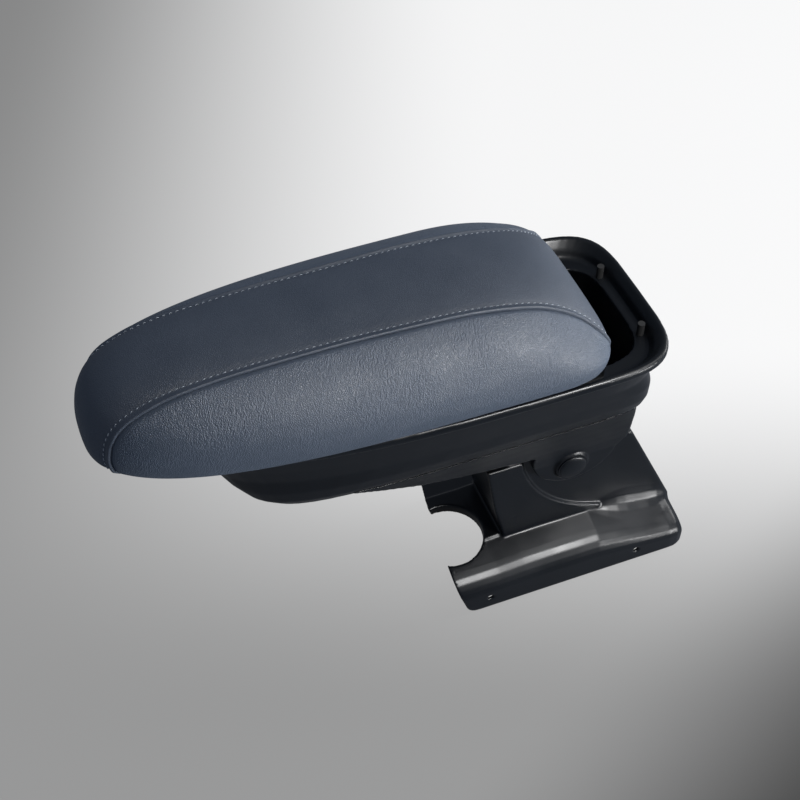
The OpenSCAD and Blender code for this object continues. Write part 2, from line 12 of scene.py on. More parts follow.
import bpy
import numpy as np
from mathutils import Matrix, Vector


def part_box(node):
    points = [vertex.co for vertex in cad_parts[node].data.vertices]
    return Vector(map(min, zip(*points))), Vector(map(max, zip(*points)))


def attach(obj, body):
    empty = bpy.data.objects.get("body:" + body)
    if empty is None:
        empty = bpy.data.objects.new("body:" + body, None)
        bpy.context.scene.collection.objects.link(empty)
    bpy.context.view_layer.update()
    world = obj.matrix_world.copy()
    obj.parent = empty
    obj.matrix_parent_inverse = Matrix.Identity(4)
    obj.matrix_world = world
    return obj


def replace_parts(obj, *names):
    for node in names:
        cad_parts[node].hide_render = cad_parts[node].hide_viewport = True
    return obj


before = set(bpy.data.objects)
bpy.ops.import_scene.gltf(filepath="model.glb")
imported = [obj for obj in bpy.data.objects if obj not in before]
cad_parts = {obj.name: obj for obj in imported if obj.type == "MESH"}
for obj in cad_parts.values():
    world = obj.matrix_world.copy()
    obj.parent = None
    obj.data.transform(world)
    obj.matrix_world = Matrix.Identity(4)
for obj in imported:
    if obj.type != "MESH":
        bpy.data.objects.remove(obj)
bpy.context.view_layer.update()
LOG = logging.getLogger("armrest")
MM = 0.001
Array = np.ndarray


class Side(Enum):
    """The two sides of the armrest, with the sign of Y on each."""

    LEFT = -1
    RIGHT = 1

    @property
    def word(self) -> str:
        """The side's name as the frame's nodes spell it."""
        return self.name.lower()


def linear(code: str) -> tuple[float, float, float, float]:
    """Turns an sRGB colour into linear light.

    Args:
        code: Six hex digits after a hash sign.

    Returns:
        Red, green, blue and an alpha of 1.
    """
    parts = [int(code[i : i + 2], 16) / 255 for i in (1, 3, 5)]
    light = [c / 12.92 if c <= 0.04045 else ((c + 0.055) / 1.055) ** 2.4 for c in parts]
    return (light[0], light[1], light[2], 1.0)


def add_node(tree: bpy.types.NodeTree, kind: str, settings: dict | None = None,
             links: dict | None = None) -> bpy.types.Node:
    """Adds one shader node.

    Args:
        tree: The material's node tree.
        kind: The node's type name.
        settings: Values by attribute name, or by input name where no attribute has that name.
        links: Output sockets by the name or number of the input they go to.

    Returns:
        The new node.
    """
    made = tree.nodes.new(kind)
    for name, value in (settings or {}).items():
        if isinstance(name, str) and hasattr(made, name):
            setattr(made, name, value)
        else:
            made.inputs[name].default_value = value
    for name, socket in (links or {}).items():
        tree.links.new(socket, made.inputs[name])
    return made


def fresh_material(name: str) -> tuple[bpy.types.Material, bpy.types.NodeTree]:
    """Makes an empty node material.

    Args:
        name: The finish's name.

    Returns:
        The material and its node tree.
    """
    made = bpy.data.materials.new(name)
    made.use_nodes = True
    made.node_tree.nodes.clear()
    return made, made.node_tree


@dataclass(frozen=True)
class MouldedPlastic:
    """ABS or polypropylene from a spark-eroded mould: a low sheen over a fine even grain."""

    name: str
    colour: str
    fleck: str
    roughness: float = 0.42
    grain_mm: float = 0.9
    depth_mm: float = 0.05
    cloud_mm: float = 34
    # A little under that of clear plastic, as the grain scatters part of the gloss
    ior: float = 1.42

    def material(self) -> bpy.types.Material:
        """Builds the node material."""
        made, tree = fresh_material(self.name)
        place = add_node(tree, "ShaderNodeTexCoord")
        point = place.outputs["Object"]
        grain = add_node(tree, "ShaderNodeTexNoise",
                         {"Scale": 1 / (self.grain_mm * MM), "Detail": 3.0, "Roughness": 0.6},
                         {"Vector": point})
        cloud = add_node(tree, "ShaderNodeTexNoise",
                         {"Scale": 1 / (self.cloud_mm * MM), "Detail": 3.0}, {"Vector": point})
        tint = add_node(tree, "ShaderNodeMix", {"data_type": "RGBA"},
                        {"Factor": cloud.outputs["Fac"]})
        tint.inputs["A"].default_value = linear(self.colour)
        tint.inputs["B"].default_value = linear(self.fleck)
        wear = add_node(tree, "ShaderNodeMapRange",
                        {"From Min": 0.3, "From Max": 0.7, "To Min": self.roughness - 0.05,
                         "To Max": self.roughness + 0.06}, {"Value": cloud.outputs["Fac"]})
        bump = add_node(tree, "ShaderNodeBump", {"Strength": 0.55, "Distance": self.depth_mm * MM},
                        {"Height": grain.outputs["Fac"]})
        shader = add_node(tree, "ShaderNodeBsdfPrincipled", {"IOR": self.ior},
                          {"Base Color": tint.outputs["Result"],
                           "Roughness": wear.outputs["Result"],
                           "Normal": bump.outputs["Normal"]})
        add_node(tree, "ShaderNodeOutputMaterial", {}, {"Surface": shader.outputs["BSDF"]})
        return made


@dataclass(frozen=True)
class Leatherette:
    """PVC-coated cloth, embossed with a hide grain: a soft sheen that the creases break up."""

    name: str
    colour: str
    worn: str
    roughness: float = 0.5
    grain_mm: float = 1.15
    depth_mm: float = 0.11
    crease_mm: float = 2.6
    crease_depth_mm: float = 0.0
    crease_lean: float = -24.0
    # How far the pebbles' pattern is bent out of true, and over what distance
    bend_mm: float = 2.2
    bend_over_mm: float = 5
    cloud_mm: float = 26
    pore_mm: float = 0.7
    # Share of the painted shade in the grain's valleys, with a touch of painted highlight on the
    # pebble tops
    painted_shade_share: float = 0.35
    ior: float = 1.52

    def material(self) -> bpy.types.Material:
        """Builds the node material."""
        made, tree = fresh_material(self.name)
        place = add_node(tree, "ShaderNodeTexCoord")
        point = place.outputs["Object"]
        bend = add_node(tree, "ShaderNodeTexNoise",
                        {"Scale": 1 / (self.bend_over_mm * MM), "Detail": 2.0},
                        {"Vector": point})
        shift = add_node(tree, "ShaderNodeVectorMath",
                         {"operation": "SCALE", "Scale": self.bend_mm * MM},
                         {0: bend.outputs["Color"]})
        warped = add_node(tree, "ShaderNodeVectorMath", {"operation": "ADD"},
                          {0: point, 1: shift.outputs["Vector"]})
        pebble = add_node(tree, "ShaderNodeTexVoronoi",
                          {"feature": "DISTANCE_TO_EDGE", "Scale": 1 / (self.grain_mm * MM)},
                          {"Vector": warped.outputs["Vector"]})
        rounded = add_node(tree, "ShaderNodeMapRange",
                           {"From Min": 0.0, "From Max": 0.32, "interpolation_type": "SMOOTHSTEP"},
                           {"Value": pebble.outputs["Distance"]})
        cloud = add_node(tree, "ShaderNodeTexNoise",
                         {"Scale": 1 / (self.cloud_mm * MM), "Detail": 4.0}, {"Vector": point})
        fine = add_node(tree, "ShaderNodeTexNoise",
                        {"Scale": 1 / (self.pore_mm * MM), "Detail": 2.0}, {"Vector": point})
        relief = add_node(tree, "ShaderNodeMath", {"operation": "MULTIPLY_ADD", 1: 0.5},
                          {0: fine.outputs["Fac"], 2: rounded.outputs["Result"]})
        bump = add_node(tree, "ShaderNodeBump", {"Strength": 0.6, "Distance": self.depth_mm * MM},
                        {"Height": relief.outputs["Value"]})
        normal = bump.outputs["Normal"]
        if self.crease_depth_mm > 0:
            normal = self._creases(tree, point, cloud.outputs["Fac"], normal)
        tint = add_node(tree, "ShaderNodeMix", {"data_type": "RGBA"},
                        {"Factor": cloud.outputs["Fac"]})
        tint.inputs["A"].default_value = linear(self.colour)
        tint.inputs["B"].default_value = linear(self.worn)
        # Painted shade: the colour darkens in the grain's valleys and lightens a touch on the
        # pebble tops
        painted_valley_shade = add_node(tree, "ShaderNodeMix", {"data_type": "RGBA", "blend_type": "MULTIPLY"},
                          {"A": tint.outputs["Result"]})
        painted_valley_shade.inputs["Factor"].default_value = self.painted_shade_share
        shade = add_node(tree, "ShaderNodeMapRange", {"To Min": 0.72, "To Max": 1.06},
                         {"Value": rounded.outputs["Result"]})
        tree.links.new(shade.outputs["Result"], painted_valley_shade.inputs["B"])
        gloss = add_node(tree, "ShaderNodeMapRange",
                         {"From Min": 0.3, "From Max": 0.7, "To Min": self.roughness - 0.05,
                          "To Max": self.roughness + 0.07}, {"Value": cloud.outputs["Fac"]})
        shader = add_node(tree, "ShaderNodeBsdfPrincipled", {"IOR": self.ior},
                          {"Base Color": painted_valley_shade.outputs["Result"],
                           "Roughness": gloss.outputs["Result"], "Normal": normal})
        add_node(tree, "ShaderNodeOutputMaterial", {}, {"Surface": shader.outputs["BSDF"]})
        return made

    def _creases(self, tree: bpy.types.NodeTree, point: bpy.types.NodeSocket,
                 cloud: bpy.types.NodeSocket, normal: bpy.types.NodeSocket) -> bpy.types.NodeSocket:
        """Adds fine creases that run down the stretched side.

        Args:
            tree: The material's node tree.
            point: The object coordinates.
            cloud: A slow noise that thins the creases out.
            normal: The normal under the creases.

        Returns:
            The normal with the creases on it.
        """
        lean = add_node(tree, "ShaderNodeVectorRotate",
                        {"rotation_type": "AXIS_ANGLE", "Axis": (0, 1, 0),
                         "Angle": math.radians(self.crease_lean)}, {"Vector": point})
        long = add_node(tree, "ShaderNodeVectorMath",
                        {"operation": "MULTIPLY", 1: (1.0, 0.36, 0.36)},
                        {0: lean.outputs["Vector"]})
        wave = add_node(tree, "ShaderNodeTexNoise",
                        {"Scale": 1 / (self.crease_mm * MM), "Detail": 2.0, "Roughness": 0.55,
                         "Distortion": 0.4}, {"Vector": long.outputs["Vector"]})
        ridge = add_node(tree, "ShaderNodeMath", {"operation": "PINGPONG", 1: 0.16},
                         {0: wave.outputs["Fac"]})
        spare = add_node(tree, "ShaderNodeMapRange", {"From Min": 0.38, "From Max": 0.62},
                         {"Value": cloud})
        height = add_node(tree, "ShaderNodeMath", {"operation": "MULTIPLY"},
                          {0: ridge.outputs["Value"], 1: spare.outputs["Result"]})
        bump = add_node(tree, "ShaderNodeBump",
                        {"Strength": 0.8, "Distance": self.crease_depth_mm * MM},
                        {"Height": height.outputs["Value"], "Normal": normal})
        return bump.outputs["Normal"]


@dataclass(frozen=True)
class PlainFinish:
    """A part finish without grain: turned, drawn or moulded smooth, with faint unevenness."""

    name: str
    colour: str
    roughness: float
    metallic: float = 0.0
    mottle_mm: float = 6.0
    depth_mm: float = 0.01

    def material(self) -> bpy.types.Material:
        """Builds the node material."""
        made, tree = fresh_material(self.name)
        place = add_node(tree, "ShaderNodeTexCoord")
        mottle = add_node(tree, "ShaderNodeTexNoise",
                          {"Scale": 1 / (self.mottle_mm * MM), "Detail": 3.0},
                          {"Vector": place.outputs["Object"]})
        gloss = add_node(tree, "ShaderNodeMapRange",
                         {"To Min": self.roughness * 0.8, "To Max": min(1.0, self.roughness * 1.2)},
                         {"Value": mottle.outputs["Fac"]})
        bump = add_node(tree, "ShaderNodeBump", {"Strength": 0.3, "Distance": self.depth_mm * MM},
                        {"Height": mottle.outputs["Fac"]})
        shader = add_node(tree, "ShaderNodeBsdfPrincipled",
                          {"Base Color": linear(self.colour), "Metallic": self.metallic},
                          {"Roughness": gloss.outputs["Result"], "Normal": bump.outputs["Normal"]})
        add_node(tree, "ShaderNodeOutputMaterial", {}, {"Surface": shader.outputs["BSDF"]})
        return made


# Black ABS from a grained mould: nearly black, with soft highlights along its crests
GRAINED_ABS = MouldedPlastic("grained_abs", "#080c12", "#0e141c", 0.34, 0.8, 0.05)
# The same plastic, smoother and painted a touch lighter as painted light on the rim and inside the
# tray, so that the rim stands out
TRAY_ABS_PAINTED_LIGHTER = MouldedPlastic("tray_abs_painted_lighter", "#11151b", "#171c22", 0.34, 0.7, 0.035)
# Bare polypropylene: waxy and dull, seen only at the lid's lower edge
CARRIER_PP = MouldedPlastic("carrier_polypropylene", "#1a1b1e", "#202125", 0.5, 1.2, 0.04)
# Grey-blue leatherette with a fine pebble grain, drawn tight over the crown
CENTRE_HIDE = Leatherette("centre_leatherette", "#4f5968", "#596474", 0.5, 1.05, 0.17)
# The same hide, painted a lighter tone than the centre as painted light for the low light that
# falls on the side; creased where it is stretched down the side
SIDE_HIDE_PAINTED_LIGHTER = Leatherette("side_leatherette_painted_lighter", "#5d6979", "#697587", 0.48, 1.1, 0.22, 1.9, 1.5)
# Pale twisted thread, the dotted line along each seam
THREAD = PlainFinish("polyester_thread", "#ccd4dd", 0.6, 0.0, 0.5, 0.08)
# Zinc-plated steel: a cold bright glint on screws and axle
ZINC_STEEL = PlainFinish("zinc_plated_steel", "#a9abad", 0.34, 1.0, 3.0)
# Oiled spring steel: a darker glint than zinc
SPRING_STEEL = PlainFinish("oiled_spring_steel", "#4a4b4d", 0.38, 1.0, 3.0)
# Undyed acetal: slippery and off-white
ACETAL = PlainFinish("natural_acetal", "#cfcabb", 0.4)
# Rubber: matt and black
RUBBER = PlainFinish("moulded_rubber", "#17181a", 0.75, 0.0, 1.5, 0.03)
# Flock that swallows light, so that the tray looks deep
FELT = PlainFinish("flocked_felt", "#121317", 0.95, 0.0, 0.8, 0.2)
# Open-cell foam: yellowish and quite matt
FOAM = PlainFinish("seat_foam", "#c8bd97", 0.9, 0.0, 1.0, 0.25)
FINISHES = (GRAINED_ABS, TRAY_ABS_PAINTED_LIGHTER, CARRIER_PP, CENTRE_HIDE, SIDE_HIDE_PAINTED_LIGHTER, THREAD, ZINC_STEEL,
            SPRING_STEEL, ACETAL, RUBBER, FELT, FOAM)
Finish = MouldedPlastic | Leatherette | PlainFinish


class Workshop:
    """Holds the built materials and turns arrays into dressed objects."""

    most_triangles: int = 150_000

    def __init__(self) -> None:
        """Builds every finish once."""
        self.made = {f.name: f.material() for f in FINISHES}

    def dress(self, finishes: dict[str, Finish]) -> None:
        """Gives nodes of the frame their finishes.

        Args:
            finishes: The finish that each node gets, by the node's name.
        """
        for node, finish in finishes.items():
            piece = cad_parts[node]
            piece.data.materials.clear()
            piece.data.materials.append(self.made[finish.name])
            LOG.info("dressed %s in %s", node, finish.name)

    def remould(self, node: str, finish: MouldedPlastic, body: str, slot: str, cell_mm: float,
                passes: int) -> bpy.types.Object:
        """Stands a finer casting of the same shape in for a rigid node.

        The node's facets melt into smooth skins, and its edges get the small radius that a mould
        leaves.

        Args:
            node: The node's name.
            finish: The finish it gets.
            body: The frame's body that carries it.
            slot: Not used.
            cell_mm: The size of the new mesh's cells.
            passes: How many times each point moves towards its neighbours.

        Returns:
            The new object, riding on its body.
        """
        rough = bpy.data.objects.new(f"{node}_rough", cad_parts[node].data.copy())
        bpy.context.scene.collection.objects.link(rough)
        cells = rough.modifiers.new("cells", "REMESH")
        cells.mode, cells.voxel_size, cells.use_smooth_shade = "VOXEL", cell_mm * MM, True
        soften = rough.modifiers.new("soften", "SMOOTH")
        soften.factor, soften.iterations = 0.5, passes
        graph = bpy.context.evaluated_depsgraph_get()
        count = 2 * len(rough.evaluated_get(graph).data.polygons)
        thin = rough.modifiers.new("thin", "DECIMATE")
        thin.ratio = min(1.0, self.most_triangles / count)
        graph = bpy.context.evaluated_depsgraph_get()
        mesh = bpy.data.meshes.new_from_object(rough.evaluated_get(graph))
        mesh.polygons.foreach_set("use_smooth", [True] * len(mesh.polygons))
        bpy.data.objects.remove(rough)
        mesh.name = f"{node}_casting"
        mesh.materials.clear()
        mesh.materials.append(self.made[finish.name])
        made = bpy.data.objects.new(f"{node}_casting", mesh)
        bpy.context.scene.collection.objects.link(made)
        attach(made, body)
        LOG.info("cast %s again: %d faces", node, len(mesh.polygons))
        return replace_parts(made, node)

    def piece(self, name: str, points: Array, faces: list, body: str, slot: str,
              finish: Finish) -> bpy.types.Object:
        """Makes a smooth mesh object from points in millimetres.

        Args:
            name: The piece's name.
            points: Its vertices, one row each.
            faces: Its faces as lists of vertex numbers.
            body: The frame's body that carries it.
            slot: Not used.
            finish: Its finish.

        Returns:
            The new object, riding on its body.
        """
        mesh = bpy.data.meshes.new(name)
        mesh.from_pydata((points * MM).tolist(), [], faces)
        mesh.polygons.foreach_set("use_smooth", [True] * len(mesh.polygons))
        mesh.materials.append(self.made[finish.name])
        mesh.update()
        made = bpy.data.objects.new(name, mesh)
        bpy.context.scene.collection.objects.link(made)
        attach(made, body)
        LOG.info("built %s: %d faces", name, len(mesh.polygons))
        return made


def smooth_curve(knots: Array, values: Array, at: Array) -> Array:
    """Runs a monotone smooth curve through values, which never overshoots between them.

    Args:
        knots: Rising places.
        values: The value at each place.
        at: Where the curve is wanted.

    Returns:
        The curve's values there.
    """
    step, rise = np.diff(knots), np.diff(values)
    slope = rise / step
    lean = np.zeros_like(values)
    same = slope[:-1] * slope[1:] > 0
    safe = np.where(same, slope[:-1] + slope[1:], 1.0)
    lean[1:-1] = np.where(same, 2 * slope[:-1] * slope[1:] / safe, 0.0)
    lean[0], lean[-1] = slope[0], slope[-1]
    i = np.clip(np.searchsorted(knots, at) - 1, 0, len(step) - 1)
    t = np.clip((at - knots[i]) / step[i], 0, 1)
    return ((2 * t**3 - 3 * t**2 + 1) * values[i] + (t**3 - 2 * t**2 + t) * step[i] * lean[i]
            + (3 * t**2 - 2 * t**3) * values[i + 1] + (t**3 - t**2) * step[i] * lean[i + 1])


@dataclass
class LidForm:
    """The padded lid's outer form: plan outlines that shrink towards the crown."""

    front: float
    rear: float
    half: float
    low: float
    height: float
    wide_share: float = 0.755
    # Share of the height, front, rear and side insets, and how square the front and rear are
    sections: tuple = (
        (0.0, 4.2, 3.6, 5.2, 2.75, 5.0), (0.02, 3, 2.5, 4, 2.75, 5.0),
        (0.07, 0.5, 0.5, 1, 2.75, 5.2), (0.20, 0, 0, 0, 2.75, 5.4),
        (0.39, 1.5, 4, 1.5, 2.75, 4.4), (0.54, 4.5, 10.5, 5, 2.75, 3.3),
        (0.66, 8.5, 18, 9.5, 2.7, 2.8), (0.78, 15.5, 30, 16.5, 2.6, 2.5),
        (0.88, 27, 49, 25.5, 2.6, 2.4), (0.95, 47, 77, 35.5, 2.5, 2.4),
        (0.985, 74, 112, 48, 2.5, 2.4), (1.0, 165, 157, 70, 2.2, 2.2))
    least_reach: float = 0.2
    above_weight: float = 50
    farthest: float = 400.0
    halvings: int = 34

    def inside(self, points: Array) -> Array:
        """Says how far out points lie: under 1 is inside the lid and over 1 is outside.

        Args:
            points: Points in millimetres, one row each.

        Returns:
            One number for each point.
        """
        table = np.array(self.sections, float)
        share = np.clip((points[:, 2] - self.low) / self.height, 0, 1)
        depth = -np.sqrt(1 - table[:, 0])
        at = -np.sqrt(1 - share)
        front, rear, side, nose, tail = (smooth_curve(depth, table[:, k], at) for k in range(1, 6))
        x0, x1 = self.front + front, self.rear - rear
        widest = x0 + (x1 - x0) * self.wide_share
        ahead = points[:, 0] < widest
        reach = np.maximum(np.where(ahead, widest - x0, x1 - widest), self.least_reach)
        power = np.where(ahead, nose, tail)
        width = np.maximum(self.half - side, self.least_reach)
        inner = ((np.abs(points[:, 0] - widest) / reach) ** power
                 + (np.abs(points[:, 1]) / width) ** power) ** (1 / power)
        over = (points[:, 2] - self.low) / self.height
        return np.where(over > 1, 1 + (over - 1) * self.above_weight, inner)

    def cast(self, start: Array, way: Array) -> Array:
        """Finds where rays from inside leave the lid.

        Args:
            start: The rays' starts, one row each.
            way: Their directions.

        Returns:
            The points where they leave it.
        """
        near, past = np.zeros(len(start)), np.full(len(start), self.farthest)
        for _ in range(self.halvings):
            middle = (near + past) / 2
            out = self.inside(start + way * middle[:, None]) > 1
            past = np.where(out, middle, past)
            near = np.where(out, near, middle)
        return start + way * near[:, None]

    def normal(self, points: Array) -> Array:
        """Gives the outward normals at points on the lid's surface."""
        step = 0.05
        way = np.zeros_like(points)
        for k in range(3):
            shift = np.zeros(3)
            shift[k] = step
            way[:, k] = self.inside(points + shift) - self.inside(points - shift)
        near_edge = points[:, 2] < self.low + 1.0
        way[near_edge, 2] = 0.0
        return way / np.maximum(np.linalg.norm(way, axis=1), 1e-12)[:, None]


def even_along(line: Array, count: int) -> Array:
    """Spaces points evenly along a line.

    Args:
        line: The line's points, one row each.
        count: How many points are wanted.

    Returns:
        The evenly spaced points.
    """
    run = np.concatenate([[0], np.cumsum(np.linalg.norm(np.diff(line, axis=0), axis=1))])
    at = np.linspace(0, run[-1], count)
    return np.stack([np.interp(at, run, line[:, k]) for k in range(3)], axis=1)


def grid_faces(rows: int, columns: int, first: int = 0, flip: bool = False) -> list:
    """Joins a grid of points into four-sided faces.

    Args:
        rows: How many rows the grid has.
        columns: How many points a row has.
        first: The number of the grid's first point.
        flip: Whether the faces look the other way.

    Returns:
        The faces as lists of four vertex numbers.
    """
    made = []
    for r in range(rows - 1):
        for c in range(columns - 1):
            a = first + r * columns + c
            face = [a, a + 1, a + columns + 1, a + columns]
            made.append(face[::-1] if flip else face)
    return made


@dataclass(frozen=True)
class Padding:
    """The foam's push against a cover that is held along its seams, from a cloth simulation."""

    push: float = 4.0
    slack: float = 0.0
    steps: int = 20
    most_mm: float = 2.2

    def swell(self, sheets: list[Array], turned: tuple[bool, ...]) -> list[Array]:
        """Blows coarse panels out between their sewn edges.

        Args:
            sheets: Each panel's points in millimetres, by row and column.
            turned: Whether each panel's faces are turned over to look outwards.

        Returns:
            How far each point moves, in millimetres.
        """
        points, faces, held, first = [], [], [], 0
        for sheet, flip in zip(sheets, turned):
            rows, columns = sheet.shape[:2]
            points.append(sheet.reshape(-1, 3))
            faces += grid_faces(rows, columns, first, flip)
            number = np.arange(rows * columns).reshape(rows, columns) + first
            held += [*number[0], *number[-1], *number[:, 0], *number[:, -1]]
            first += rows * columns
        start = np.concatenate(points)
        moved = self._simulate(start, faces, sorted({int(i) for i in held}))
        shift = moved - start
        far = np.linalg.norm(shift, axis=1)[:, None]
        shift = shift * (self.most_mm / np.maximum(far, self.most_mm))
        cuts = np.cumsum([len(p) for p in points])[:-1]
        return [part.reshape(sheet.shape) for part, sheet in zip(np.split(shift, cuts), sheets)]

    def _simulate(self, start: Array, faces: list, held: list[int]) -> Array:
        """Runs the cloth and returns where its points end.

        Args:
            start: The points in millimetres.
            faces: The faces, looking outwards.
            held: The numbers of the points that are sewn down.

        Returns:
            The points in millimetres after the last step.
        """
        mesh = bpy.data.meshes.new("cover_trial")
        mesh.from_pydata((start * MM).tolist(), [], faces)
        trial = bpy.data.objects.new("cover_trial", mesh)
        bpy.context.scene.collection.objects.link(trial)
        trial.vertex_groups.new(name="sewn").add(held, 1.0, "REPLACE")
        cloth = trial.modifiers.new("cloth", "CLOTH")
        cloth.settings.vertex_group_mass = "sewn"
        cloth.settings.use_pressure = True
        cloth.settings.uniform_pressure_force = self.push
        cloth.settings.shrink_min = self.slack
        cloth.settings.effector_weights.gravity = 0
        cloth.collision_settings.use_collision = False
        cloth.point_cache.frame_start, cloth.point_cache.frame_end = 1, self.steps
        for step in range(1, self.steps + 1):
            bpy.context.scene.frame_set(step)
        graph = bpy.context.evaluated_depsgraph_get()
        ended = trial.evaluated_get(graph).to_mesh()
        flat = np.empty(len(ended.vertices) * 3)
        ended.vertices.foreach_get("co", flat)
        bpy.data.objects.remove(trial)
        bpy.data.meshes.remove(mesh)
        bpy.context.scene.frame_set(1)
        return flat.reshape(-1, 3) / MM


def stretch(shift: Array, rows: Array, columns: int) -> Array:
    """Spreads a coarse sheet's shifts over a finer one.

    Args:
        shift: The coarse shifts, by row and column.
        rows: Where the finer rows lie, from 0 to 1.
        columns: How many columns the finer sheet has.

    Returns:
        The finer sheet's shifts.
    """
    old_rows = np.linspace(0, 1, shift.shape[0])
    old_columns = np.linspace(0, 1, shift.shape[1])
    at = np.linspace(0, 1, columns)
    wide = np.stack([[smooth_curve(old_columns, line[:, k], at) for line in shift]
                     for k in range(3)], axis=2)
    return np.stack([[smooth_curve(old_rows, wide[:, c, k], rows) for c in range(columns)]
                     for k in range(3)], axis=2).transpose(1, 0, 2)


@dataclass
class PaddedLid:
    """The lid's upholstery: a centre panel, two side panels, two topstitched seams and its foam."""

    shop: Workshop
    padding: Padding = Padding()
    # Half the distance between the seams by place along the lid: they spread to the rear
    seam_along: tuple = (-306, -242, -220, -197, -165, -132, -118, -89, -60, -45, -31, -17, -5.5,
                         4)
    seam_apart: tuple = (33.4, 33.2, 33.4, 33.6, 33.9, 34.8, 35.3, 36, 37.4, 38.4, 40.6, 44.3,
                         49.2, 51)
    # The folded edge: distances from the seam, and the height over the pad at each
    fold_at: tuple = (0, 0.18, 0.4, 0.7, 1.05, 1.45, 1.9, 2.4, 2.9, 3.8, 5, 7, 10, 14)
    fold_height: tuple = (-1.1, -0.1, 0.5, 0.8, 0.9, 0.72, 0.36, 0.0, -0.3, -0.45, -0.25, -0.05,
                          0, 0)
    # The same for the side panel, which dips into the seam
    dip_at: tuple = (0, 0.5, 1.2, 2.5, 5, 9)
    dip_height: tuple = (-1.1, -0.9, -0.45, -0.05, 0.05, 0.0)
    # The hem that turns in under the carrier plate: how far in, and how far up
    hem: tuple = ((1.5, 0.1), (8.0, 0.4))
    stitch_from_fold: float = 3.8
    stitch_pitch: float = 4.05
    stitch_length: float = 2.3
    stitch_radius: float = 0.25
    stitch_margin: float = 5.0
    stitch_rise: float = 0.45
    stitch_sag: float = 0.6
    stitch_slant: float = 0.3
    # Points round a stitch, and along it
    stitch_grid: tuple[int, int] = (8, 7)
    # The line from which the columns are laid out, the point from which the side rows are
    cast_from: float = 34.0
    heart_inset: float = 45.0
    heart_share: float = 0.6
    heart_rise: float = 2.0
    columns: int = 420
    # Directions tried before the columns, and a side panel's lower edge, are spaced evenly
    turns: int = 1600
    hem_turns: int = 900
    # The centre panel's rows beside each seam, by distance from it, and those between
    rows_at: tuple = (0, 0.18, 0.4, 0.7, 1.05, 1.45, 1.9, 2.4, 2.9, 3.4, 3.8, 4.3, 5, 6, 7.4,
                      9.2, 11.4)
    inner_from: float = 13.6
    mean_half: float = 37
    centre_rows: int = 28
    side_rows: int = 72
    side_bias: float = 1.25
    # Columns, and rows across and down, of the sheets that the cloth simulation takes
    coarse: int = 90
    coarse_across: int = 22
    coarse_down: int = 16
    form: LidForm = field(init=False)
    angles: Array = field(init=False)
    seam: Array = field(init=False)

    def __post_init__(self) -> None:
        """Takes the lid's outer sizes from the frame and lays out its columns and seams."""
        corners = [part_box(n) for n in ("cover_centre", "cover_side_left", "cover_side_right")]
        low = [min(c[0][k] for c in corners) / MM for k in range(3)]
        high = [max(c[1][k] for c in corners) / MM for k in range(3)]
        height = (high[2] - low[2]) / (1 - self.lowest_share())
        self.form = LidForm(low[0], high[0], high[1], high[2] - height, height)
        turn = np.linspace(math.pi, 0, self.turns)
        line = even_along(self.cast_row(np.full(len(turn), self.cast_from), turn), self.columns)
        self.angles = np.arctan2(line[:, 2] - self.form.low, line[:, 0] - self.middle())
        self.seam = np.full(self.columns, self.cast_from)
        for _ in range(2):
            at = self.cast_row(self.seam, self.angles)[:, 0]
            self.seam = smooth_curve(np.array(self.seam_along, float),
                                     np.array(self.seam_apart), at)

    @staticmethod
    def lowest_share() -> float:
        """Share of the lid's height at which the covers end."""
        return LidForm.sections[1][0]

    def middle(self) -> float:
        """Place along the lid from which its sections are cast."""
        return (self.form.front + self.form.rear) / 2

    def cast_row(self, y: Array, angles: Array) -> Array:
        """Lays a row of points over the lid, from the front lower edge to the rear.

        Args:
            y: The place across the lid of each point.
            angles: Each point's direction from the lid's middle.

        Returns:
            The points on the lid's surface.
        """
        way = np.stack([np.cos(angles), np.zeros_like(angles), np.sin(angles)], axis=1)
        start = np.stack([np.full(len(y), self.middle()), y,
                          np.full(len(y), self.form.low + 0.01)], axis=1)
        return self.form.cast(start, way)

    def seam_profile(self, from_seam: float) -> float:
        """Height of the folded and topstitched edge over the pad, by distance from the seam."""
        return float(np.interp(from_seam, self.fold_at, self.fold_height))

    def centre_sheet(self, shares: Array, offsets: Array, angles: Array, seam: Array) -> Array:
        """Lays the centre panel's rows on the lid.

        Args:
            shares: Each row's place, from -1 at one seam to 1 at the other.
            offsets: Each row's distance in from the seam, on top of its share.
            angles: The columns' directions.
            seam: Half the distance between the seams at each column.

        Returns:
            The points by row and column.
        """
        return np.array([self.cast_row(share * (seam - offset), angles)
                         for share, offset in zip(shares, offsets)])

